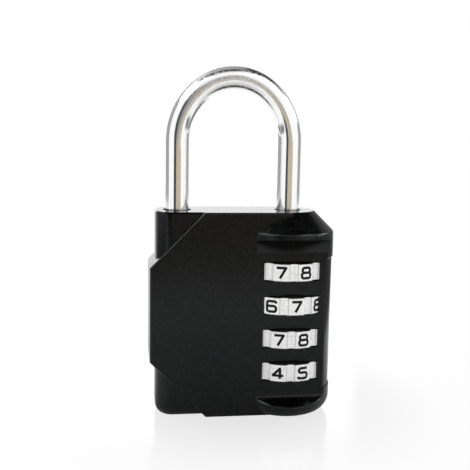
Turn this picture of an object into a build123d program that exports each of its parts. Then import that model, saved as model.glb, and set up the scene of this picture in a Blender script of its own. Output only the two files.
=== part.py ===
from build123d import *

import os
from math import atan2, cos, pi, radians, sin, sqrt, tan

# A four-dial resettable combination padlock, in millimetres.
# +Z is up, the dials face -Y, and the origin is the middle of the base.

# Housing: a thin column on the left, front and rear plates with a wing, and a barrel round the dials
body_width = 43.0
barrel_radius = 10.8
plate_depth = 14.0
head_room = 13.4
column_setback = 0.8
column_inset = 1.35
column_corner = 4.0
column_foot = 2.5
column_brow = 0.4
wing_top = 35.0
wing_bottom = 13.3
slope_angle = 46.0
plate_edge = 0.6

# Barrel: conical shoulder, shallow waist over the dials, rounded chin, flat finger scoop in front
shoulder_drop = 4.7
shoulder_angle = 45.0
shoulder_round = 1.0
waist_rise = 0.45
waist_margin = 0.6
waist_depth = 0.25
barrel_wall = 1.05
chin_radius = 3.8
hood_drop = 6.25
hood_angle = 8.4
lip_height = 3.0
shelf_angle = 22.5
shelf_round = 1.6
lip_edge = 0.2
groove_height = 2.85
groove_depth = 1.0
groove_sag = 0.08
groove_inset = 0.124
scoop_edge = 0.8

# Shackle: round bar, a short toe leg on the left and a long finned heel leg down the dial axis
shackle_diameter = 5.3
toe_inset = 5.0
shackle_rise = 32.6
bow_stretch = 1.275
bow_shoulder_turn = 50.0
toe_gap = 0.5
toe_chamfer = 0.6
leg_clearance = 0.15
mouth_width = 0.4
toe_socket_clearance = 0.3
toe_floor_gap = 0.4
core_radius = 1.8
fin_width = 1.4
fin_height = 2.0
fin_clearance = 0.2
tip_length = 0.5
tip_gap = 0.6

# Dials and the code sleeves inside them
dial_count = 4
digit_count = 10
dial_height = 3.9
dial_pitch = 7.8
dial_edge = 0.15
flute_width = 2.3
flute_depth = 0.75
dial_slot_clearance = 0.2
dial_slot_play = 0.25
# angle from the front to the first panel on the right, from the top dial down
dial_turns = (18.0, 5.0, 17.0, 17.0)
sleeve_radius = 5.0
sleeve_gap = 0.2
sleeve_bore_clearance = 0.2
sleeve_leg_clearance = 0.2
sleeve_dial_clearance = 0.15
gate_thickness = 1.2
gate_clearance = 0.15
fin_slot_play = 0.4
key_reach = 0.75
key_width = 1.2
key_height = 0.9
key_drop = 0.2
key_play = 0.15
key_ledge_margin = 0.3
reset_clearance = 0.4

# Springs, washer and pins
base_floor = 2.0
washer_thickness = 0.5
stack_play = 0.1
spring_wire = 0.7
spring_radius = 4.2
spring_turns = 3
wire_sides = 6
spring_seat = 0.05
leaf_thickness = 0.3
leaf_width = 3.8
leaf_bump = 0.6
leaf_play = 0.1
leaf_overhang = 3.0
pin_diameter = 1.5
pin_length = 8.0
pin_drop = 3.5
pin_fit = 0.02
pin_play = 0.15
dowel_diameter = 2.0
dowel_length = 8.0
pocket_wall = 2.0
pocket_corner = 2.0

# Widths and depths worked out from the sizes above
wing_left = -body_width / 2
column_left = wing_left + column_inset
column_depth = plate_depth - 2 * column_setback
axis_x = body_width / 2 - barrel_radius
toe_x = column_left + toe_inset
leg_spacing = axis_x - toe_x
plate_front = -plate_depth / 2
waist_radius = barrel_radius - waist_depth
slot_radius = waist_radius - barrel_wall
dial_radius = slot_radius - dial_slot_clearance
scoop_half_width = sqrt(barrel_radius**2 - plate_front**2)
groove_left = scoop_half_width - groove_inset
shackle_radius = shackle_diameter / 2
leg_bore = shackle_radius + leg_clearance
toe_socket = shackle_radius + toe_socket_clearance
sleeve_bore = sleeve_radius + sleeve_bore_clearance
chamber_radius = shackle_radius + sleeve_leg_clearance
crown_radius = barrel_radius - shoulder_drop / tan(radians(shoulder_angle))
pin_x = axis_x + shackle_radius
pin_radius = pin_diameter / 2
leaf_back = axis_x - dial_radius - leaf_play - leaf_bump - leaf_thickness

# Heights, stacked up from the base: leg tip, lowest fin, sleeves and dials, then the head
ledge_height = key_drop + key_height + key_ledge_margin
reset_travel = ledge_height - key_drop + reset_clearance
fin_drop = reset_travel + fin_clearance
sleeve_height = dial_pitch - sleeve_gap
heel_tip = base_floor + tip_gap
stack_bottom = heel_tip + tip_length + fin_height + fin_drop
lowest_dial = stack_bottom + sleeve_height / 2
dial_heights = [lowest_dial + dial_pitch * (dial_count - 1 - n) for n in range(dial_count)]
stack_top = dial_heights[0] + sleeve_height / 2
slot_half = dial_height / 2 + dial_slot_play
washer_top = stack_bottom - stack_play
washer_bottom = washer_top - washer_thickness
leaf_low = dial_heights[-1] - leaf_overhang
leaf_high = dial_heights[0] + leaf_overhang
body_height = dial_heights[0] + head_room
overall_height = body_height + shackle_rise
shoulder_height = body_height - shoulder_drop
hood_height = body_height - hood_drop
shelf_back = lip_height + (barrel_radius + plate_front) * tan(radians(shelf_angle))
waist_low = shelf_back + shelf_round + waist_rise
waist_high = dial_heights[0] + slot_half + waist_margin
lift = dial_pitch
toe_tip = body_height + toe_gap - lift
heel_shoulder = stack_top - sleeve_height + gate_thickness + fin_slot_play
pin_height = body_height - pin_drop
dowel_x = (toe_x - dowel_diameter, (toe_x + axis_x) / 2 - dowel_diameter / 2)
dowel_spots = [
    (dowel_x[0], wing_top - dowel_diameter),
    (dowel_x[0], wing_bottom - 2 * dowel_diameter),
    (dowel_x[1], shoulder_height),
    (dowel_x[1], lip_height + dowel_diameter / 2),
]
barrel_axis = Axis((axis_x, 0, 0), (0, 0, 1))

os.makedirs("parts", exist_ok=True)


def slug(radius, low, high, x=axis_x, mode=Mode.ADD):
    """A round slug standing between two heights, on the barrel's axis unless told otherwise."""
    with Locations((x, 0, low)):
        Cylinder(radius, high - low, align=(Align.CENTER, Align.CENTER, Align.MIN), mode=mode)


def cross_pins(spots, diameter, length, mode=Mode.ADD):
    """Round pins lying along Y, centred on the parting plane."""
    with Locations(*[(x, 0, z) for x, z in spots]):
        Cylinder(diameter / 2, length, rotation=(90, 0, 0), mode=mode)


# Left column: rounded in plan, with a soft foot
with BuildPart() as column:
    with BuildSketch() as column_plan:
        with Locations((column_left, 0)):
            Rectangle(axis_x - column_left, column_depth, align=(Align.MIN, Align.CENTER))
        fillet(column_plan.vertices().group_by(Axis.X)[0], column_corner)
    extrude(amount=body_height)
    fillet(column.faces().sort_by(Axis.Z)[0].edges().sort_by(Axis.X)[:-1], column_foot)
    chamfer(column.faces().sort_by(Axis.Z)[-1].edges().sort_by(Axis.X)[:-1], column_brow)

# Plates: one outline through the whole depth, with the wing between its two slopes
with BuildPart() as plates:
    slope_run = 1 / tan(radians(slope_angle))
    with BuildSketch(Plane.XZ):
        with BuildLine():
            Polyline(
                (axis_x, 0),
                (wing_left + wing_bottom * slope_run, 0),
                (wing_left, wing_bottom),
                (wing_left, wing_top),
                (wing_left + (body_height - wing_top) * slope_run, body_height),
                (axis_x, body_height),
                close=True,
            )
        make_face()
    extrude(amount=plate_depth / 2, both=True)
    fillet(plates.faces().filter_by(Axis.Y).edges().sort_by(Axis.X)[:-2], plate_edge)

# Barrel: turned form with the scoop taken out of its front down to the plate
with BuildPart() as barrel:
    with BuildSketch(Plane.XZ):
        with BuildLine():
            CenterArc((axis_x + barrel_radius - chin_radius, chin_radius), chin_radius, -90, 90)
            Polyline(
                (axis_x + barrel_radius, chin_radius),
                (axis_x + barrel_radius, waist_low - waist_depth),
                (axis_x + waist_radius, waist_low),
                (axis_x + waist_radius, waist_high),
                (axis_x + barrel_radius, waist_high + waist_depth),
                (axis_x + barrel_radius, shoulder_height),
                (axis_x + crown_radius, body_height),
            )
            Polyline(
                (axis_x + crown_radius, body_height),
                (axis_x, body_height),
                (axis_x, 0),
                (axis_x + barrel_radius - chin_radius, 0),
            )
        make_face()
    revolve(axis=barrel_axis)
    shoulder = barrel.edges().filter_by(GeomType.CIRCLE).filter_by_position(
        Axis.Z, shoulder_height, shoulder_height
    )
    fillet(shoulder, shoulder_round)
    with BuildSketch(Plane.YZ) as scoop:
        reach = 2 * barrel_radius
        hood_front = hood_height + (reach + plate_front) * tan(radians(hood_angle))
        shelf_front = lip_height - (reach - barrel_radius) * tan(radians(shelf_angle))
        with BuildLine():
            Polyline(
                (plate_front, hood_height),
                (plate_front, shelf_back),
                (-reach, shelf_front),
                (-reach, hood_front),
                close=True,
            )
        make_face()
        fillet(scoop.vertices().group_by(Axis.X)[-1].sort_by(Axis.Y)[0], shelf_round)
    extrude(amount=body_width, both=True, mode=Mode.SUBTRACT)
    chamfer(barrel.edges().sort_by_distance((axis_x, -barrel_radius, lip_height))[0], lip_edge)

# Everything that is hollow inside the housing, shared by its two halves
with BuildPart() as hollows:
    slug(sleeve_bore, base_floor, stack_top + stack_play)
    slug(leg_bore, base_floor, body_height)
    for height in dial_heights:
        slug(slot_radius, height - slot_half, height + slot_half)
    slug(toe_socket, toe_tip - toe_floor_gap, body_height, x=toe_x)
    for x, radius in ((axis_x, leg_bore), (toe_x, toe_socket)):
        with Locations((x, 0, body_height - mouth_width / 2)):
            Cone(radius, radius + mouth_width, mouth_width)
    # finger groove: deepest under the hood, it runs out to the right
    with BuildSketch(Plane.YZ.offset(axis_x - groove_left)):
        groove_back = plate_front + groove_depth
        groove_front = plate_front - groove_depth
        groove_low = hood_height - groove_height
        hood_rise = groove_depth * tan(radians(hood_angle))
        groove_slant = atan2(groove_depth, groove_height - hood_rise)
        groove_middle = (
            (plate_front + groove_back) / 2 + groove_sag * cos(groove_slant),
            (hood_height - hood_rise + groove_low) / 2 - groove_sag * sin(groove_slant),
        )
        with BuildLine():
            ThreePointArc((groove_back, hood_height - hood_rise), groove_middle, (plate_front, groove_low))
            Polyline(
                (plate_front, groove_low),
                (groove_front, groove_low),
                (groove_front, hood_height + hood_rise),
                (groove_back, hood_height - hood_rise),
            )
        make_face()
    extrude(amount=groove_left + barrel_radius)
    with BuildSketch(Plane.XZ):
        with Locations((leaf_back - leaf_play, leaf_low - leaf_play)):
            Rectangle(
                axis_x - dial_radius - leaf_back + leaf_play,
                leaf_high - leaf_low + 2 * leaf_play,
                align=Align.MIN,
            )
    extrude(amount=leaf_width / 2 + leaf_play, both=True)
    pocket_low = lip_height + 2 * dowel_diameter + pocket_wall
    pocket_high = toe_tip - toe_floor_gap - pocket_wall
    pocket_left = toe_x + dowel_diameter
    pocket_right = leaf_back - leaf_play - pocket_wall
    with BuildSketch(Plane.XZ):
        with Locations(((pocket_left + pocket_right) / 2, (pocket_low + pocket_high) / 2)):
            RectangleRounded(pocket_right - pocket_left, pocket_high - pocket_low, pocket_corner)
    extrude(amount=plate_depth / 2 - pocket_wall, both=True)
    cross_pins([(pin_x, pin_height)], pin_diameter + 2 * pin_fit, pin_length + 2 * pin_fit)
    cross_pins(dowel_spots, dowel_diameter + 2 * pin_fit, dowel_length + 2 * pin_fit)

# Front half of the housing, with the dial windows, scoop and finger groove
with BuildPart() as front_shell:
    add(column.part)
    add(plates.part)
    add(barrel.part)
    add(hollows.part, mode=Mode.SUBTRACT)
    split(bisect_by=Plane.XZ, keep=Keep.TOP)
    scoop_corner = axis_x + sqrt(waist_radius**2 - plate_front**2)
    scoop_middle = (scoop_corner, plate_front, (waist_low + waist_high) / 2)
    fillet(front_shell.edges().sort_by_distance(scoop_middle)[0], scoop_edge)
front_shell.part.label = "front_shell"
export_step(front_shell.part, "parts/front_shell.step")

# Rear half: the same outline with a plain round barrel
with BuildPart() as rear_shell:
    add(column.part)
    add(plates.part)
    add(barrel.part)
    add(hollows.part, mode=Mode.SUBTRACT)
    split(bisect_by=Plane.XZ, keep=Keep.BOTTOM)
rear_shell.part.label = "rear_shell"
export_step(rear_shell.part, "parts/rear_shell.step")

# Shackle: a bow of three tangent arcs on two legs
with BuildPart() as shackle:
    half_spacing = leg_spacing / 2
    bow_middle = axis_x - half_spacing
    bow_rise = half_spacing + bow_stretch
    spring_line = overall_height - shackle_radius - bow_rise
    turn = radians(bow_shoulder_turn)
    bow_shift = bow_stretch / (cos(turn) + sin(turn) - 1)
    shoulder_radius = half_spacing + bow_shift * cos(turn)
    top_radius = bow_rise - bow_shift * sin(turn)
    with BuildLine(Plane.XZ):
        Line((toe_x, toe_tip), (toe_x, spring_line))
        CenterArc((toe_x + shoulder_radius, spring_line), shoulder_radius, 180, -bow_shoulder_turn)
        CenterArc(
            (bow_middle, spring_line + bow_shift * sin(turn)),
            top_radius,
            180 - bow_shoulder_turn,
            -(180 - 2 * bow_shoulder_turn),
        )
        CenterArc(
            (axis_x - shoulder_radius, spring_line),
            shoulder_radius,
            bow_shoulder_turn,
            -bow_shoulder_turn,
        )
        Line((axis_x, spring_line), (axis_x, heel_shoulder))
    with BuildSketch(Plane.XY.offset(toe_tip)):
        with Locations((toe_x, 0)):
            Circle(shackle_radius)
    sweep()
    toe_rim = shackle.faces().filter_by(Axis.Z).sort_by(Axis.X)[0].edges()
    chamfer(toe_rim, toe_chamfer)
    slug(core_radius, heel_tip, heel_shoulder)
    for height in dial_heights:
        fin_top = height - sleeve_height / 2 - fin_drop
        with Locations((axis_x, 0, fin_top - fin_height)):
            Box(shackle_radius, fin_width, fin_height, align=(Align.MAX, Align.CENTER, Align.MIN))
    # a flat for the retaining pin ends in a groove that lets the lifted bow swivel
    flat_depth = pin_radius + pin_play
    flat_low = pin_height - lift - flat_depth
    with Locations((pin_x - flat_depth, 0, flat_low)):
        Box(
            flat_depth,
            shackle_diameter,
            lift + 2 * flat_depth,
            align=(Align.MIN, Align.CENTER, Align.MIN),
            mode=Mode.SUBTRACT,
        )
    with BuildSketch(Plane.XY.offset(flat_low)):
        with Locations((axis_x, 0)):
            Circle(shackle_diameter)
            Circle(shackle_radius - flat_depth, mode=Mode.SUBTRACT)
    extrude(amount=2 * flat_depth, mode=Mode.SUBTRACT)
shackle.part.label = "shackle"
export_step(shackle.part, "parts/shackle.step")

# Dials: ten number panels parted by flutes, with a notched bore over a plain counterbore
flute_radius = (flute_width**2 / 4 + flute_depth**2) / (2 * flute_depth)
notch_radius = sleeve_radius + key_reach + key_play
digit_angle = 360 / digit_count
for number, (height, dial_turn) in enumerate(zip(dial_heights, dial_turns), start=1):
    low = height - dial_height / 2
    high = height + dial_height / 2
    with BuildPart() as dial:
        slug(dial_radius, low, high)
        chamfer(dial.edges().filter_by(GeomType.CIRCLE), dial_edge)
        with BuildSketch(Plane((axis_x, 0, low))):
            flute_start = -90 + dial_turn + digit_angle / 2
            with PolarLocations(dial_radius - flute_depth + flute_radius, digit_count, flute_start):
                Circle(flute_radius)
        extrude(amount=dial_height, mode=Mode.SUBTRACT)
        slug(sleeve_radius + sleeve_dial_clearance, low, high, mode=Mode.SUBTRACT)
        slug(notch_radius, low, high - ledge_height, mode=Mode.SUBTRACT)
        with BuildSketch(Plane((axis_x, 0, high - ledge_height))):
            with PolarLocations(notch_radius / 2, digit_count):
                Rectangle(notch_radius, key_width + 2 * key_play)
        extrude(amount=ledge_height, mode=Mode.SUBTRACT)
    dial.part.label = f"dial_{number}"
    export_step(dial.part, f"parts/dial_{number}.step")

# Code sleeves: each turns with its dial by a key and lets a fin through its gate
for number, height in enumerate(dial_heights, start=1):
    low = height - sleeve_height / 2
    key_low = height + dial_height / 2 - key_drop - key_height
    with BuildPart() as sleeve:
        slug(sleeve_radius, low, low + sleeve_height)
        with Locations((axis_x, 0, key_low)):
            Box(
                sleeve_radius + key_reach,
                key_width,
                key_height,
                align=(Align.MIN, Align.CENTER, Align.MIN),
            )
        slug(chamber_radius, low + gate_thickness, low + sleeve_height, mode=Mode.SUBTRACT)
        slug(core_radius + gate_clearance, low, low + gate_thickness, mode=Mode.SUBTRACT)
        with Locations((axis_x, 0, low)):
            Box(
                chamber_radius,
                fin_width + fin_slot_play,
                gate_thickness,
                align=(Align.MAX, Align.CENTER, Align.MIN),
                mode=Mode.SUBTRACT,
            )
    sleeve.part.label = f"code_sleeve_{number}"
    export_step(sleeve.part, f"parts/code_sleeve_{number}.step")

# Washer under the sleeve stack
with BuildPart() as spring_washer:
    slug(sleeve_radius, washer_bottom, washer_top)
    slug(chamber_radius, washer_bottom, washer_top, mode=Mode.SUBTRACT)
spring_washer.part.label = "spring_washer"
export_step(spring_washer.part, "parts/spring_washer.step")

# Reset spring: a short helix on the floor of the bore
with BuildPart() as reset_spring:
    coil_low = base_floor + spring_seat + spring_wire / 2
    coil_high = washer_bottom - spring_seat - spring_wire / 2
    coil_rise = coil_high - coil_low
    with BuildLine():
        Helix(coil_rise / spring_turns, coil_rise, spring_radius, center=(axis_x, 0, coil_low))
    climb = atan2(coil_rise / spring_turns, 2 * pi * spring_radius)
    wire_start = (axis_x + spring_radius, 0, coil_low)
    with BuildSketch(Plane(wire_start, x_dir=(1, 0, 0), z_dir=(0, cos(climb), sin(climb)))):
        RegularPolygon(spring_wire / 2, wire_sides)
    sweep(is_frenet=True)
reset_spring.part.label = "reset_spring"
export_step(reset_spring.part, "parts/reset_spring.step")

# Click spring: a leaf beside the dials with a bump for each
with BuildPart() as click_spring:
    leaf_front = leaf_back + leaf_thickness
    with BuildSketch(Plane.XZ):
        with Locations(*[(leaf_front, height) for height in dial_heights]):
            Circle(leaf_bump)
        with Locations((leaf_front, leaf_low)):
            Rectangle(leaf_bump, leaf_high - leaf_low, align=Align.MIN, mode=Mode.INTERSECT)
        with Locations((leaf_back, leaf_low)):
            Rectangle(leaf_thickness, leaf_high - leaf_low, align=Align.MIN)
    extrude(amount=leaf_width / 2, both=True)
click_spring.part.label = "click_spring"
export_step(click_spring.part, "parts/click_spring.step")

# Pin that keeps the long leg in the body
with BuildPart() as retaining_pin:
    cross_pins([(pin_x, pin_height)], pin_diameter, pin_length)
retaining_pin.part.label = "retaining_pin"
export_step(retaining_pin.part, "parts/retaining_pin.step")

# Dowels that hold the two halves together
with BuildPart() as assembly_pins:
    cross_pins(dowel_spots, dowel_diameter, dowel_length)
assembly_pins.part.label = "assembly_pins"
export_step(assembly_pins.part, "parts/assembly_pins.step")
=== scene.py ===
# %% [markdown]
# # A four-dial combination padlock
# The lock is a black moulded housing in two halves, a chromed shackle and four silver number dials. Its
# solids arrive ready made and fixed in place, so this lesson dresses them: it gives every piece its finish,
# paints the numbers on the dials, winds a coil spring as a mesh, and builds a small white studio
# round the lock.

# %% Load the solids
import math

import bmesh
import bpy
from mathutils import Matrix, Vector


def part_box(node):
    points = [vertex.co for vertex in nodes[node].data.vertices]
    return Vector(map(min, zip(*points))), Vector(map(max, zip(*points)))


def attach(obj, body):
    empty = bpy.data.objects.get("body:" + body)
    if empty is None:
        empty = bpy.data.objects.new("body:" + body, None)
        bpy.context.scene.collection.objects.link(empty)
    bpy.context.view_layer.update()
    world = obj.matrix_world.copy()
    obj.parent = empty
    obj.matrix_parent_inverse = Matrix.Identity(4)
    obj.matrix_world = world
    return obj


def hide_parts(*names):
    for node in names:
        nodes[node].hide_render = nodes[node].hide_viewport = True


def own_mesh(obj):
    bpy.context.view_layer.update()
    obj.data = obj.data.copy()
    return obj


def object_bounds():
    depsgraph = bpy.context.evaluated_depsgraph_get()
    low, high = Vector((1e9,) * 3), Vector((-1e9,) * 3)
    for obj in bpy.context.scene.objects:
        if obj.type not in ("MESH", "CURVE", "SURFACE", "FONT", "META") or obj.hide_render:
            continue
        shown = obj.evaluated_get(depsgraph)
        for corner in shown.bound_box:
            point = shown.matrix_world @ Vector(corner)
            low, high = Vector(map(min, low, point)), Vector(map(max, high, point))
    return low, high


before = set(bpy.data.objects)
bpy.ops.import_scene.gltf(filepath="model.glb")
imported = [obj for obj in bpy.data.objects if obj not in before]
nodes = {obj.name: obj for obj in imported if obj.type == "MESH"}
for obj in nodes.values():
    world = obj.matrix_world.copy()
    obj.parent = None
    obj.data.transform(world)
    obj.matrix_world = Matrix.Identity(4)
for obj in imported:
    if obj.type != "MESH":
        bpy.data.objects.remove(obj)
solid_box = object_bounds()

MM = 0.001
scene = bpy.context.scene
print("solids:", len(nodes), "height in mm:", round(solid_box[1][2] / MM, 2))

# %% [markdown]
# ## Camera
# The lock was photographed from close by, a little from the left and a little from above, with the camera
# rolled by about a degree. A camera could be turned until it looks right, but it is steadier to say where
# it looks, from which direction and how far away, and to build its axes from those few values.

# %% Camera at the viewing angle
camera_target = Vector((-1.6, 0.0, 41.52)) * MM
camera_distance = 186.5 * MM
camera_azimuth = math.radians(-7.93)
camera_elevation = math.radians(8.23)
camera_roll = math.radians(0.994)


def camera_matrix():
    """The camera's axes and place, from where it looks and how it is turned."""
    flat = math.cos(camera_elevation)
    back = Vector(
        (math.sin(camera_azimuth) * flat, -math.cos(camera_azimuth) * flat, math.sin(camera_elevation))
    )
    right = Vector((math.cos(camera_azimuth), math.sin(camera_azimuth), 0.0))
    up = back.cross(right)
    rolled_right = right * math.cos(camera_roll) + up * math.sin(camera_roll)
    rolled_up = up * math.cos(camera_roll) - right * math.sin(camera_roll)
    axes = Matrix((rolled_right, rolled_up, back)).transposed().to_4x4()
    return Matrix.Translation(camera_target + back * camera_distance) @ axes


camera_data = bpy.data.cameras.new("camera")
camera_data.sensor_width = 36.0
camera_data.lens = 61.4
camera_data.clip_start = 5 * MM
camera = bpy.data.objects.new("camera", camera_data)
camera.matrix_world = camera_matrix()
scene.collection.objects.link(camera)
scene.camera = camera
print("camera in mm:", [round(c / MM, 1) for c in camera.matrix_world.translation])

# %% [markdown]
# ## A kit for finishes
# Every finish here is made of nodes, and each pattern reads the piece's own Object coordinates. A grain of
# a fifth of a millimetre is then a fifth of a millimetre on every piece, and it stays on the piece when the
# piece moves. Image textures would need pictures and unwrapped meshes. A few helpers make the nodes and the
# wires between them, so that each finish below reads as a short recipe.


# %% Materials, nodes and wires
def new_finish(name, metallic, specular):
    """A material with its Principled shader, for one finish."""
    material = bpy.data.materials.new(name)
    material.use_nodes = True
    shader = material.node_tree.nodes["Principled BSDF"]
    shader.inputs["Metallic"].default_value = metallic
    shader.inputs["Specular IOR Level"].default_value = specular
    return material, shader


def add_node(material, kind, **settings):
    """A new node of a kind in a material, with its plain settings."""
    made = material.node_tree.nodes.new(kind)
    for name, value in settings.items():
        setattr(made, name, value)
    return made


def join(material, output, socket):
    """A wire from one node's output to another node's socket."""
    material.node_tree.links.new(output, socket)


print("helpers ready for materials, nodes and wires")


# %% Places and arithmetic
def object_place(material):
    """The shaded point in the piece's own Object coordinates."""
    return add_node(material, "ShaderNodeTexCoord").outputs["Object"]


def part_along(material, vector, axis):
    """The part of a vector along one axis, X, Y or Z."""
    parts = add_node(material, "ShaderNodeSeparateXYZ")
    join(material, vector, parts.inputs["Vector"])
    return parts.outputs[axis]


def length_of(material, vector):
    """The length of a vector."""
    measured = add_node(material, "ShaderNodeVectorMath", operation="LENGTH")
    join(material, vector, measured.inputs[0])
    return measured.outputs["Value"]


def arithmetic(material, operation, *values, clamp=False):
    """One step of arithmetic on one or two values, kept between 0 and 1 if it is clamped."""
    step = add_node(material, "ShaderNodeMath", operation=operation, use_clamp=clamp)
    for value, socket in zip(values, step.inputs):
        join(material, value, socket)
    return step.outputs["Value"]


def spread(material, value, low, high, start=0.3, end=0.7):
    """A value moved from the range start to end, where most of a noise lies, to the range low to high."""
    ranged = add_node(material, "ShaderNodeMapRange")
    ranged.inputs["From Min"].default_value = start
    ranged.inputs["From Max"].default_value = end
    ranged.inputs["To Min"].default_value = low
    ranged.inputs["To Max"].default_value = high
    join(material, value, ranged.inputs["Value"])
    return ranged.outputs["Result"]


print("helpers ready for places and arithmetic")


# %% Noise, colours and bumps
def noise(material, grain, detail=3.0, stretch=(1.0, 1.0, 1.0)):
    """A noise with features about one grain wide, in metres, and longer along an axis that is stretched."""
    mapping = add_node(material, "ShaderNodeMapping")
    mapping.inputs["Scale"].default_value = [1 / (grain * long) for long in stretch]
    texture = add_node(material, "ShaderNodeTexNoise")
    texture.inputs["Scale"].default_value = 1.0
    texture.inputs["Detail"].default_value = detail
    join(material, object_place(material), mapping.inputs["Vector"])
    join(material, mapping.outputs["Vector"], texture.inputs["Vector"])
    return texture.outputs["Fac"]


def blend_colours(material, value, first, second):
    """A colour from first to second, by a value from 0 to 1. Either may be a wire from another node."""
    mix = add_node(material, "ShaderNodeMix", data_type="RGBA")
    for name, colour in (("A", first), ("B", second)):
        socket = next(s for s in mix.inputs if s.name == name and s.type == "RGBA")
        if isinstance(colour, tuple):
            socket.default_value = (*colour, 1.0)
        else:
            join(material, colour, socket)
    join(material, value, mix.inputs["Factor"])
    return next(s for s in mix.outputs if s.type == "RGBA")


def grey(level):
    """A neutral colour."""
    return (level, level, level)


def bump(material, shader, height, depth):
    """A bump of some depth in metres on a shader."""
    bumped = add_node(material, "ShaderNodeBump")
    bumped.inputs["Strength"].default_value = 1.0
    bumped.inputs["Distance"].default_value = depth
    join(material, height, bumped.inputs["Height"])
    join(material, bumped.outputs["Normal"], shader.inputs["Normal"])


print("helpers ready for noise, colours and bumps")

# %% [markdown]
# ## Black paint on the housing
# The two halves are painted a satin black with a fine, sandy grain that scatters reflections softly. A flat
# dark grey would look like paper. Here a fine noise raises the grain and varies the gloss, and a coarser
# one speckles the colour, as sprayed paint does. A thin dark line on the parting plane draws the joint
# between the halves, which a real pair never closes fully. It is painted by the distance from that plane,
# so it follows every edge of the housing by itself.

# %% Black paint
paint_speckle = 0.6 * MM
speckle_range = (0.45, 0.66)
darkest_paint = grey(0.0001)
palest_paint = (0.0045, 0.0048, 0.0052)
paint_grain = 0.28 * MM
paint_grain_depth = 0.010 * MM
paint_roughness = (0.16, 0.25)
cool_gloss = (0.94, 0.97, 1.0, 1.0)
seam_colour = grey(0.0004)
seam_edge = 0.03 * MM
seam_end = 0.09 * MM


def satin_black():
    """Satin black paint with a fine grain and a dark line where the two halves meet."""
    material, shader = new_finish("satin_black_paint", metallic=0.0, specular=0.28)
    shader.inputs["Specular Tint"].default_value = cool_gloss
    speckle = spread(material, noise(material, paint_speckle), 0.0, 1.0, *speckle_range)
    colour = blend_colours(material, speckle, darkest_paint, palest_paint)
    from_seam = arithmetic(material, "ABSOLUTE", part_along(material, object_place(material), "Y"))
    past_seam = spread(material, from_seam, 0.0, 1.0, seam_edge, seam_end)
    colour = blend_colours(material, past_seam, seam_colour, colour)
    join(material, colour, shader.inputs["Base Color"])
    grain = noise(material, paint_grain)
    join(material, spread(material, grain, *paint_roughness), shader.inputs["Roughness"])
    bump(material, shader, grain, paint_grain_depth)
    return material


housing_finish = satin_black()
print("nodes in", housing_finish.name, len(housing_finish.node_tree.nodes))

# %% [markdown]
# ## Chrome on the shackle
# The shackle is a bent bar, chromed and polished, so nearly all of its look is the room that it mirrors. A
# perfect mirror would look like glass. Faint marks that run along the legs vary the gloss a little, and
# towards the top of the bow the mirror is dulled in small patches, as in the photograph. The dulling is a
# noise times the height, so that it has no edge.

# %% Chrome
dark_chrome = (0.95, 0.95, 0.955)
pale_chrome = (0.985, 0.985, 0.99)
mark_width = 0.5 * MM
mark_stretch = (1.0, 1.0, 12.0)
mark_depth = 0.0004 * MM
mark_roughness = (0.09, 0.13)
patch_width = 0.9 * MM
patch_wear = (0.3, 1.0)
patch_range = (0.35, 0.6)
bow_top = solid_box[1][2]
wear_start = bow_top - 14.1 * MM
wear_end = bow_top - 3.1 * MM
most_wear = 0.22


def worn_chrome():
    """Polished chrome with faint marks along the legs, dulled in patches towards the top of the bow."""
    material, shader = new_finish("polished_chrome", metallic=1.0, specular=0.5)
    marks = noise(material, mark_width, stretch=mark_stretch)
    colour = blend_colours(material, spread(material, marks, 0.0, 1.0), dark_chrome, pale_chrome)
    join(material, colour, shader.inputs["Base Color"])
    patches = spread(material, noise(material, patch_width, detail=4.0), *patch_wear, *patch_range)
    height = part_along(material, object_place(material), "Z")
    worn = spread(material, height, 0.0, most_wear, wear_start, wear_end)
    wear = arithmetic(material, "MULTIPLY", patches, worn)
    roughness = arithmetic(material, "ADD", spread(material, marks, *mark_roughness), wear)
    join(material, roughness, shader.inputs["Roughness"])
    bump(material, shader, marks, mark_depth)
    return material


shackle_finish = worn_chrome()
print("chrome dulled from", round(wear_start / MM, 1), "to", round(wear_end / MM, 1), "mm")

# %% [markdown]
# ## Silver on the dials
# Each dial is a pale plated ring with ten number panels and a flute between each two for a finger tip. In
# one plain silver the panels and flutes would run together. So the plating is speckled, and a dark band of
# painted shade lies just inside the rim, where the edges of the flutes are. The band is found by the distance
# from the dial's axis, and so it turns with the dial. The level ends of a dial are painted near black, as
# painted shade that keeps the slit between a dial and its window dark.

# %% Where painted shade lies on a dial
# Width and strength of the painted shade in a band along the flutes' edges.
flute_shade_depth = 0.22 * MM
rim_clear = 0.02 * MM
most_flute_shade = 0.5
level_range = (0.75, 0.95)


def dial_size(dial):
    """The middle of a dial and the radius of its number panels."""
    low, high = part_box(f"dial_{dial}")
    return (low + high) / 2, max(high.x - low.x, high.y - low.y) / 2


def painted_flute_shade(material, middle, radius):
    """How dark the painted shade is at a point, in a band round the dial's axis just inside its rim."""
    from_axis = add_node(material, "ShaderNodeMapping")
    from_axis.inputs["Location"].default_value = (-middle.x, -middle.y, 0.0)
    from_axis.inputs["Scale"].default_value = (1.0, 1.0, 0.0)
    join(material, object_place(material), from_axis.inputs["Vector"])
    reach = length_of(material, from_axis.outputs["Vector"])
    outer = spread(material, reach, 1.0, 0.0, radius - flute_shade_depth, radius - rim_clear)
    inner = spread(material, reach, 0.0, most_flute_shade, radius - 2 * flute_shade_depth, radius - flute_shade_depth)
    return arithmetic(material, "MULTIPLY", outer, inner)


def level_faces(material):
    """1 on the level ends of a dial, and 0 on its rim."""
    facing = add_node(material, "ShaderNodeNewGeometry").outputs["Normal"]
    upwards = arithmetic(material, "ABSOLUTE", part_along(material, facing, "Z"))
    return spread(material, upwards, 0.0, 1.0, *level_range)


print("dial radius in mm:", round(dial_size(1)[1] / MM, 2))

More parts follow.
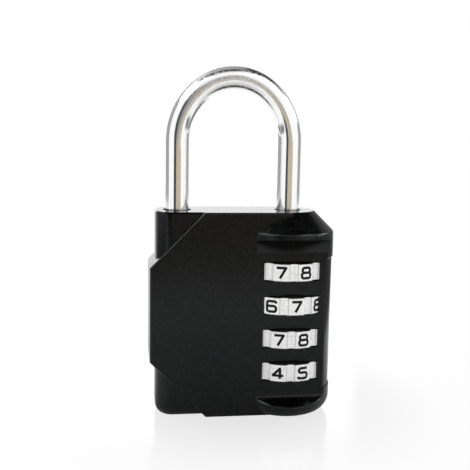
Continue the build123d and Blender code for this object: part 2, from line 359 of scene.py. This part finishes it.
# %% Silver
silver_speckle = 0.3 * MM
silver_speckle_depth = 0.012 * MM
silver_range = (0.34, 0.5)
silver_roughness = (0.3, 0.45)
dull_silver = grey(0.70)
pale_silver = grey(1.0)
# These two colours are painted shade: the first along the flutes' edges, the second on the level ends.
flute_shade_colour = grey(0.12)
slit_shade_colour = grey(0.02)


def satin_silver(middle, radius):
    """Pale speckled silver for the dials, with painted shade along the flutes' edges and on the level ends.
    """
    material, shader = new_finish("satin_silver", metallic=0.25, specular=0.5)
    speckle = noise(material, silver_speckle)
    shade = spread(material, speckle, 0.0, 1.0, *silver_range)
    colour = blend_colours(material, shade, dull_silver, pale_silver)
    # Painted shade: a dark band just inside the rim, along the edges of the flutes.
    colour = blend_colours(material, painted_flute_shade(material, middle, radius), colour, flute_shade_colour)
    # Painted shade: the level ends are darkened, so the slit between a dial and its window stays dark.
    colour = blend_colours(material, level_faces(material), colour, slit_shade_colour)
    join(material, colour, shader.inputs["Base Color"])
    join(material, spread(material, speckle, *silver_roughness), shader.inputs["Roughness"])
    bump(material, shader, speckle, silver_speckle_depth)
    return material


dial_finish = satin_silver(*dial_size(1))
print("nodes in", dial_finish.name, len(dial_finish.node_tree.nodes))

# %% [markdown]
# ## The metals inside
# The code sleeves are turned brass, and the springs, washer and pins are plain steel. They can only be seen
# in a lock that is taken apart, so one recipe serves both: a grain that varies colour, gloss and surface
# together. On the brass it is stretched across the axis, like the fine rings that a lathe tool leaves.


# %% Brass and steel
def plain_metal(name, dark, light, grain, roughness, depth, stretch=(1.0, 1.0, 1.0)):
    """A metal whose colour, gloss and surface vary together by one grain."""
    material, shader = new_finish(name, metallic=1.0, specular=0.5)
    marks = noise(material, grain, stretch=stretch)
    colour = blend_colours(material, spread(material, marks, 0.0, 1.0), dark, light)
    join(material, colour, shader.inputs["Base Color"])
    join(material, spread(material, marks, *roughness), shader.inputs["Roughness"])
    bump(material, shader, marks, depth)
    return material


turned_brass = plain_metal(
    "turned_brass",
    dark=(0.36, 0.24, 0.09),
    light=(0.50, 0.35, 0.15),
    grain=0.12 * MM,
    roughness=(0.24, 0.40),
    depth=0.003 * MM,
    stretch=(8.0, 8.0, 1.0),
)
bright_steel = plain_metal(
    "bright_steel",
    dark=(0.42, 0.42, 0.43),
    light=(0.60, 0.60, 0.61),
    grain=0.2 * MM,
    roughness=(0.22, 0.38),
    depth=0.003 * MM,
)
print("metals inside:", turned_brass.name, bright_steel.name)

# %% [markdown]
# ## Finishes on the solids
# A table says which finish each solid wears, in the words of the part's own list of finishes. The finish goes
# into the solid's material slots, and its mesh stays as it is. The dials and the sleeves come in fours, so a
# loop writes their rows.

# %% Give every solid its finish
finishes = {
    "body_paint": housing_finish,
    "shackle_chrome": shackle_finish,
    "dial_silver": dial_finish,
    "sleeve_brass": turned_brass,
    "spring_steel": bright_steel,
}
node_slots = {
    "front_shell": "body_paint",
    "rear_shell": "body_paint",
    "shackle": "shackle_chrome",
    "click_spring": "spring_steel",
    "retaining_pin": "spring_steel",
    "assembly_pins": "spring_steel",
    "reset_spring": "spring_steel",
    "spring_washer": "spring_steel",
}
dial_count = sum(name.startswith("dial_") for name in nodes)
for dial in range(1, dial_count + 1):
    node_slots[f"dial_{dial}"] = "dial_silver"
    node_slots[f"code_sleeve_{dial}"] = "sleeve_brass"
for name, slot in node_slots.items():
    for material_slot in nodes[name].material_slots:
        material_slot.material = finishes[slot]
print("dressed solids:", len(node_slots), "of", len(nodes))

# %% [markdown]
# ## Numbers on the dials
# Each dial carries the numbers 0 to 9 in black paint, one on each panel between two flutes. They are drawn
# with even, square strokes with rounded corners. A font would bring someone's letter shapes, so each number
# is a short path instead: a few corners in a box from about -1 to 1, which a curve follows with a round
# pen. The curve becomes a mesh, is pressed flat, and is bent round the dial to lie on the panel like thick
# paint.

# %% Paths of the ten numbers
number_paths = {
    0: [((-1, 1), (1, 1), (1, -1), (-1, -1))],
    1: [((-0.35, 0.62), (0.15, 1), (0.15, -1))],
    2: [((-1, 0.5), (-1, 1), (1, 1), (1, 0), (-1, 0), (-1, -1), (1, -1))],
    3: [
        ((-1, 0.6), (-1, 1), (1, 1), (1, 0.04), (-0.45, 0.04)),
        ((0.3, 0.04), (1, 0.04), (1, -1), (-1, -1), (-1, -0.6)),
    ],
    4: [((0.4, -1), (0.4, 1), (-1.15, -0.4), (1.15, -0.4))],
    5: [((1, 1), (-0.9, 1), (-0.9, 0.12), (1, 0.12), (1, -1), (-1, -1), (-1, -0.62))],
    6: [((1, 0.62), (1, 1), (-1, 1), (-1, -1), (1, -1), (1, 0.08), (-1, 0.08))],
    7: [((-1, 1), (1, 1), (-0.25, -1))],
    8: [
        ((-0.88, 1), (0.88, 1), (0.88, 0.05), (-0.88, 0.05)),
        ((-1, 0.05), (1, 0.05), (1, -1), (-1, -1)),
    ],
    9: [((-1, -0.62), (-1, -1), (1, -1), (1, 1), (-1, 1), (-1, -0.08), (1, -0.08))],
}
closed_numbers = {0, 8}
sharp_numbers = {1, 4, 7}
number_height = 3.0 * MM
number_width = 2.75 * MM
stroke = 0.61 * MM
corner_radius = 0.5 * MM
sharp_radius = 0.03 * MM
half_box = Vector(((number_width - stroke) / 2, (number_height - stroke) / 2))
print("numbers drawn:", len(number_paths))

# %% [markdown]
# A rounded corner is a curve between two knots on the corner's arms. Each knot has a handle that points at
# the corner and ends a little past half way there, which draws very nearly a quarter of a circle.

# %% A pen stroke
handle_from_corner = 0.45


def add_stroke(curve, corners, radius, closed):
    """A pen stroke through the corners, each rounded by a radius where it has two neighbours."""
    knots = []
    count = len(corners)
    for index, point in enumerate(corners):
        if not closed and index in (0, count - 1):
            knots.append((point, point, point))
            continue
        before = corners[index - 1]
        after = corners[(index + 1) % count]
        arm_in = (before - point).normalized() * min(radius, (before - point).length / 2)
        arm_out = (after - point).normalized() * min(radius, (after - point).length / 2)
        knots.append((point + arm_in, point + arm_in, point + arm_in * handle_from_corner))
        knots.append((point + arm_out, point + arm_out * handle_from_corner, point + arm_out))
    spline = curve.splines.new("BEZIER")
    spline.bezier_points.add(len(knots) - 1)
    for knot, (place, left, right) in zip(spline.bezier_points, knots):
        knot.handle_left_type = "FREE"
        knot.handle_right_type = "FREE"
        knot.co = place.to_3d()
        knot.handle_left = left.to_3d()
        knot.handle_right = right.to_3d()
    spline.use_cyclic_u = closed
    spline.resolution_u = 6


print("corner radius in mm:", round(corner_radius / MM, 2))


# %% One number as a mesh
def number_mesh(number):
    """A number in the XY plane as a mesh of round strokes, centred on the origin."""
    curve = bpy.data.curves.new(f"number_{number}", "CURVE")
    curve.dimensions = "3D"
    curve.bevel_depth = stroke / 2
    curve.bevel_resolution = 2
    curve.use_fill_caps = True
    radius = sharp_radius if number in sharp_numbers else corner_radius
    for path in number_paths[number]:
        corners = [Vector((x * half_box.x, y * half_box.y)) for x, y in path]
        add_stroke(curve, corners, radius, number in closed_numbers)
    drawn = bpy.data.objects.new(curve.name, curve)
    mesh = bpy.data.meshes.new_from_object(drawn)
    bpy.data.objects.remove(drawn)
    bpy.data.curves.remove(curve)
    return mesh


number_meshes = {number: number_mesh(number) for number in number_paths}
print("faces in the 8:", len(number_meshes[8].polygons))

# %% [markdown]
# The numbers grow to the right as the dial is seen from the front, one every 36 degrees. The photograph
# shows which number stands where on each dial, so one known panel per dial places all ten: a number, and
# its angle to the right of straight in front. The foot of the paint lies a little below the panel, so that
# no gap shows.

# %% Numbers bent round their dials
paint_top = 0.04 * MM
paint_foot = -0.016 * MM
known_panel = {1: (8, 18.0), 2: (7, 5.0), 3: (8, 17.0), 4: (5, 17.0)}
number_angle = 360.0 / len(number_paths)


def paint_numbers(dial):
    """All ten numbers of a dial as one mesh, lying on its panels."""
    middle, radius = dial_size(dial)
    shown, shown_angle = known_panel[dial]
    painted = bmesh.new()
    for number, flat in number_meshes.items():
        panel_angle = math.radians(shown_angle + number_angle * (number - shown))
        start = len(painted.verts)
        painted.from_mesh(flat)
        painted.verts.ensure_lookup_table()
        for vert in painted.verts[start:]:
            turn = panel_angle + vert.co.x / radius
            share = 0.5 + vert.co.z / stroke
            reach = radius + paint_foot + (paint_top - paint_foot) * share
            vert.co = Vector(
                (middle.x + reach * math.sin(turn), middle.y - reach * math.cos(turn), middle.z + vert.co.y)
            )
    bmesh.ops.recalc_face_normals(painted, faces=painted.faces)
    mesh = bpy.data.meshes.new(f"dial_{dial}_numbers")
    painted.to_mesh(mesh)
    painted.free()
    return mesh


print("degrees from number to number:", number_angle)

# %% Paint the numbers
number_speckle = 0.15 * MM
number_roughness = (0.28, 0.45)
darkest_number = grey(0.003)
palest_number = grey(0.008)


def number_paint():
    """Dense black paint, duller than the paint of the housing."""
    material, shader = new_finish("number_paint", metallic=0.0, specular=0.2)
    speckle = noise(material, number_speckle, detail=2.0)
    shade = spread(material, speckle, 0.0, 1.0)
    join(material, blend_colours(material, shade, darkest_number, palest_number), shader.inputs["Base Color"])
    join(material, spread(material, speckle, *number_roughness), shader.inputs["Roughness"])
    return material


number_finish = number_paint()
for dial in range(1, dial_count + 1):
    mesh = paint_numbers(dial)
    mesh.materials.append(number_finish)
    piece = bpy.data.objects.new(mesh.name, mesh)
    scene.collection.objects.link(piece)
    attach(piece, f"dial_{dial}")
    print(piece.name, "faces:", len(mesh.polygons))

# %% [markdown]
# ## The reset spring
# Below the code sleeves a coil spring holds up a washer. The washer sinks when the code is changed, and the
# spring is squeezed. A solid can't be squeezed, so the spring is wound once more as a mesh: a ring of wire
# is spun round the axis of the dials and climbs a little at each step, as on a coil winder. The coil rides
# with the housing, and the solid spring is hidden.

# %% Wind the reset spring
wire_thickness = 0.7 * MM
wire_sides = 10
spring_turns = 3
steps_per_turn = 32
spring_low, spring_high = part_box("reset_spring")
spring_middle = (spring_low + spring_high) / 2
spring_height = spring_high.z - spring_low.z


def wound_spring(name):
    """A coil of round wire with closed ends, as large as the solid spring."""
    coil_radius = (spring_high.x - spring_low.x - wire_thickness) / 2
    climb = spring_height - wire_thickness
    slope = math.atan2(climb, spring_turns * math.tau * coil_radius)
    steps = spring_turns * steps_per_turn
    coil = bmesh.new()
    ring = bmesh.ops.create_circle(coil, segments=wire_sides, radius=wire_thickness / 2)
    foot = Vector((spring_middle.x + coil_radius, spring_middle.y, spring_low.z + wire_thickness / 2))
    upright_ring = Matrix.Translation(foot) @ Matrix.Rotation(math.pi / 2 + slope, 4, "X")
    bmesh.ops.transform(coil, matrix=upright_ring, verts=ring["verts"])
    bmesh.ops.spin(
        coil,
        geom=coil.verts[:] + coil.edges[:],
        cent=spring_middle,
        axis=(0.0, 0.0, 1.0),
        dvec=(0.0, 0.0, climb / steps),
        angle=spring_turns * math.tau,
        steps=steps,
    )
    bmesh.ops.holes_fill(coil, edges=[edge for edge in coil.edges if edge.is_boundary])
    bmesh.ops.recalc_face_normals(coil, faces=coil.faces)
    mesh = bpy.data.meshes.new(name)
    coil.to_mesh(mesh)
    coil.free()
    mesh.shade_smooth()
    return mesh


spring_mesh = wound_spring("reset_spring_coil")
print("spring faces:", len(spring_mesh.polygons), "height in mm:", round(spring_height / MM, 3))

# %% Attach the spring to the housing
spring_mesh.materials.append(finishes["spring_steel"])
spring_coil = bpy.data.objects.new(spring_mesh.name, spring_mesh)
scene.collection.objects.link(spring_coil)
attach(spring_coil, "housing")
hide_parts("reset_spring")
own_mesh(spring_coil)

# %% [markdown]
# ## The studio
# A white floor runs into a white surround, so the lock stands in plain soft light from all sides. Lamps
# could light it too, but each would cast a shadow of its own, and an even white world casts only soft ones.

# %% White surround
world = bpy.data.worlds.new("white_surround")
world.use_nodes = True
surround = world.node_tree.nodes["Background"]
surround.inputs["Color"].default_value = (1.0, 1.0, 1.0, 1.0)
surround.inputs["Strength"].default_value = 1.0
scene.world = world
scene.view_settings.view_transform = "Standard"
print("view transform:", scene.view_settings.view_transform)


# %% Sheets for the stage
def stage_material(name):
    """A material with nothing but its output, and the socket that takes a shader."""
    material = bpy.data.materials.new(name)
    material.use_nodes = True
    material.node_tree.nodes.remove(material.node_tree.nodes["Principled BSDF"])
    return material, material.node_tree.nodes["Material Output"].inputs["Surface"]


def stage_sheet(name, corner_low, width, height, across, along, material):
    """A flat rectangle from one corner, along two directions, that isn't part of the lock."""
    sheet = bmesh.new()
    first = sheet.verts.new(corner_low)
    sheet.verts.ensure_lookup_table()
    grown = bmesh.ops.extrude_vert_indiv(sheet, verts=[first])
    bmesh.ops.translate(sheet, verts=grown["verts"], vec=across * width)
    raised = bmesh.ops.extrude_edge_only(sheet, edges=grown["edges"])
    top = [part for part in raised["geom"] if isinstance(part, bmesh.types.BMVert)]
    bmesh.ops.translate(sheet, verts=top, vec=along * height)
    mesh = bpy.data.meshes.new(name)
    sheet.to_mesh(mesh)
    sheet.free()
    mesh.materials.append(material)
    placed = bpy.data.objects.new(name, mesh)
    scene.collection.objects.link(placed)
    return placed


print("helpers ready for the stage")

# %% [markdown]
# ## The floor
# The lock stands on a white table that is slightly glossy, with a pale shadow and a faint mirror image
# below the lock. A plain white floor would take a broad grey shadow from a black lock. So the camera sees
# mostly the floor's own even white, and only a little of a matt surface whose colour holds a painted shadow,
# darker in front on the right. Mirrors see the same white away from the lock, and close to the lock the
# matt surface with its painted shadow. A gloss lies on top and fades away from the lock, so that the far
# floor stays white.

# %% The lit floor
# The floor's colour carries a painted shadow of the lock, dark near this middle point and pale away from it.
painted_shadow_grey = grey(0.68)
unshadowed_floor_grey = grey(0.97)
painted_shadow_middle = Vector((35, -40, 0)) * MM
painted_shadow_start = 45 * MM
painted_shadow_end = 95 * MM


def matt_with_painted_shadow(material, place):
    """The floor's matt surface, with a painted shadow of the lock that makes its colour darker in front on
    the right.
    """
    from_shade = add_node(material, "ShaderNodeVectorMath", operation="DISTANCE")
    from_shade.inputs[1].default_value = painted_shadow_middle
    join(material, place, from_shade.inputs[0])
    pale = spread(material, from_shade.outputs["Value"], 0.0, 1.0, painted_shadow_start, painted_shadow_end)
    matt = add_node(material, "ShaderNodeBsdfDiffuse")
    # Painted shadow: the matt colour is darker near the middle of the shadow.
    join(material, blend_colours(material, pale, painted_shadow_grey, unshadowed_floor_grey), matt.inputs["Color"])
    return matt.outputs["BSDF"]


print("middle of the floor's shade in mm:", [round(c / MM) for c in painted_shadow_middle])

# %% The floor's own white and its gloss
own_light = 0.95
mirrored_start = 60 * MM
mirrored_end = 150 * MM
gloss_index = 1.2
most_gloss = 2.5
gloss_start = 12 * MM
gloss_end = 50 * MM


def white_share(material, from_lock):
    """How much of its own white the floor shows: to the camera everywhere, to mirrors away from the lock."""
    rays = add_node(material, "ShaderNodeLightPath").outputs
    mirrored = arithmetic(material, "ADD", rays["Is Glossy Ray"], rays["Is Transmission Ray"])
    away = spread(material, from_lock, 0.0, 1.0, mirrored_start, mirrored_end)
    mirrored_away = arithmetic(material, "MULTIPLY", mirrored, away)
    shown = arithmetic(material, "ADD", rays["Is Camera Ray"], mirrored_away)
    return spread(material, shown, 0.0, own_light, 0.0, 1.0)


def gloss_share(material, from_lock):
    """How much of its gloss the floor shows: more at a glancing angle, and none far from the lock."""
    glancing = add_node(material, "ShaderNodeFresnel")
    glancing.inputs["IOR"].default_value = gloss_index
    fade = spread(material, from_lock, most_gloss, 0.0, gloss_start, gloss_end)
    return arithmetic(material, "MULTIPLY", glancing.outputs["Fac"], fade, clamp=True)


print("the floor's gloss ends at", round(gloss_end / MM), "mm from the lock's middle")


# %% Floor finish
def mix_shaders(material, amount, first, second):
    """A mix of two shaders, from all the first at 0 to all the second at 1."""
    mix = add_node(material, "ShaderNodeMixShader")
    join(material, amount, mix.inputs["Fac"])
    join(material, first, mix.inputs[1])
    join(material, second, mix.inputs[2])
    return mix.outputs["Shader"]


def floor_finish():
    """A white floor that the camera sees almost evenly lit, with a gloss that fades away from the lock."""
    material, surface = stage_material("white_floor")
    place = object_place(material)
    from_lock = length_of(material, place)
    white = add_node(material, "ShaderNodeEmission")
    white.inputs["Strength"].default_value = 1.0
    lit = matt_with_painted_shadow(material, place)
    body = mix_shaders(material, white_share(material, from_lock), lit, white.outputs["Emission"])
    gloss = add_node(material, "ShaderNodeBsdfGlossy")
    gloss.inputs["Roughness"].default_value = 0.14
    top = mix_shaders(material, gloss_share(material, from_lock), body, gloss.outputs["BSDF"])
    join(material, top, surface)
    return material


white_floor = floor_finish()
print("nodes in", white_floor.name, len(white_floor.node_tree.nodes))

# %% Lay the floor
AXIS_X = Vector((1, 0, 0))
AXIS_Y = Vector((0, 1, 0))
AXIS_Z = Vector((0, 0, 1))
floor_reach = 6.0
floor_height = solid_box[0][2]
floor_corner = Vector((-floor_reach, -floor_reach, floor_height))
stage_sheet("floor", floor_corner, 2 * floor_reach, 2 * floor_reach, AXIS_Y, AXIS_X, white_floor)
print("floor height in mm:", round(floor_height / MM, 3))

# %% [markdown]
# ## Cards for the reflections
# In an all white room, chrome and paint would mirror nothing but white. A photographer puts cards and
# lights round a lock to give its edges something to reflect, and so does this scene. Each card is a sheet
# with its own even light. It shows only in reflections and throws no shadow, so the cards change what
# chrome, paint and the glossy floor mirror, and neither the background nor the soft light. All their sizes
# are in millimetres.


# %% Upright and lying cards
def card(name, colour, corner_low, width, height, across, along):
    """A card that shows only in reflections, with a colour of its own light."""
    material, surface = stage_material(name)
    light = add_node(material, "ShaderNodeEmission")
    light.inputs["Color"].default_value = (*colour, 1.0)
    join(material, light.outputs["Emission"], surface)
    placed = stage_sheet(name, corner_low, width, height, across, along, material)
    placed.visible_camera = False
    placed.visible_diffuse = False
    placed.visible_transmission = False
    placed.visible_shadow = False


def upright(name, colour, start, end, low, high):
    """An upright card between two points of the plan, in millimetres."""
    across = (Vector(end) - Vector(start)).to_3d()
    foot = Vector((*start, low)) * MM
    card(name, colour, foot, across.length * MM, (high - low) * MM, across.normalized(), AXIS_Z)


def lying(name, colour, left, right, near, far, height):
    """A level card at a height, in millimetres."""
    foot = Vector((left, near, height)) * MM
    card(name, colour, foot, (right - left) * MM, (far - near) * MM, AXIS_X, AXIS_Y)


print("helpers ready for cards")

# %% [markdown]
# The table in front is tan, and so is a low wall at its far edge. They draw the warm line along the bar of
# the shackle, and the dark card on their left draws the dark line beside it. Grey cards stand for the room
# behind the camera and for the table on both sides.

# %% Cards in front and on the table
table_height = 0.5
front_line = -200
tan_left = -62
tan_right = 112
tan_foot = 26
table_tan = (0.42, 0.39, 0.32)
wall_tan = (0.55, 0.48, 0.35)
table_grey = grey(0.2)
lying("table_card", table_tan, tan_left, tan_right, front_line, -165, table_height)
upright("low_table_card", table_tan, (tan_left, front_line), (tan_right, front_line), table_height, tan_foot)
upright("tan_card", wall_tan, (tan_left, front_line), (tan_right, front_line), tan_foot, 60)
upright("dark_card", grey(0.07), (-165, front_line), (tan_left, front_line), table_height, 200)
upright("room_card", grey(0.3), (-130, -350), (90, -350), 40, 225)
lying("left_table_card", table_grey, -330, -165, -175, 150, table_height)
lying("right_table_card", table_grey, 165, 330, -175, 0, table_height)
lying("right_rear_table_card", table_grey, 80, 330, 0, 250, table_height)
print("width of the tan cards in mm:", tan_right - tan_left)

# %% [markdown]
# A ceiling hangs over the lock in five fields, nearly black in front and at the sides, and greyer behind.
# What faces upwards mirrors it. It keeps the slopes of the hood dark, and it draws the dark line on top of
# the bow.

# %% Cards overhead
ceiling_height = 800
# Each field has its grey, and then its left, right, near and far edges.
ceiling_fields = {
    "front_ceiling_card": (0.015, -700, 700, -400, -30),
    "rear_ceiling_card": (0.36, -220, 220, -30, 1042),
    "left_ceiling_card": (0.015, -1200, -220, -30, 120),
    "left_rear_ceiling_card": (0.6, -1200, -220, 120, 1042),
    "right_ceiling_card": (0.03, 220, 1200, -30, 1042),
}
for name, (level, *edges) in ceiling_fields.items():
    lying(name, grey(level), *edges, ceiling_height)
print("ceiling fields:", len(ceiling_fields))

# %% [markdown]
# Round the lock stand upright cards, each between two bearings: angles from straight in front, positive to
# the right. The grey ones at the sides and behind give the outlines of the bar a grey edge. The light ones
# are higher up and draw white streaks on the bar. One more light stands low behind the lock, where the flat
# top of the housing mirrors it at a glancing angle.


# %% Cards round the lock
def bearing(angle, distance):
    """A point of the plan at an angle from straight in front, positive to the right."""
    turn = math.radians(angle)
    return (distance * math.sin(turn), -distance * math.cos(turn))


grey_distance = 500
grey_cards = {
    "right_gap_card": (88, 125),
    "right_rear_gap_card": (125, 160),
    "left_gap_card": (-93, -130),
    "left_rear_gap_card": (-130, -163),
}
for name, (start, end) in grey_cards.items():
    upright(name, grey(0.36), bearing(start, grey_distance), bearing(end, grey_distance), 0, 400)
print("grey cards round the lock:", len(grey_cards))

# %% Lights round the lock
upright("back_light_card", grey(1.9), (-350, 600), (350, 600), 0, 250)
light_distance = 400
# Each light has its first and last bearing, and then its lower and upper edge.
light_cards = {
    "left_light_card": (-112, -75, 330, 600),
    "front_left_light_card": (-75, -35, 330, 600),
    "front_right_light_card": (35, 75, 330, 600),
    "right_light_card": (75, 112, 150, 290),
}
for name, (start, end, low, high) in light_cards.items():
    upright(name, grey(4.2), bearing(start, light_distance), bearing(end, light_distance), low, high)
print("lights round the lock:", len(light_cards) + 1)
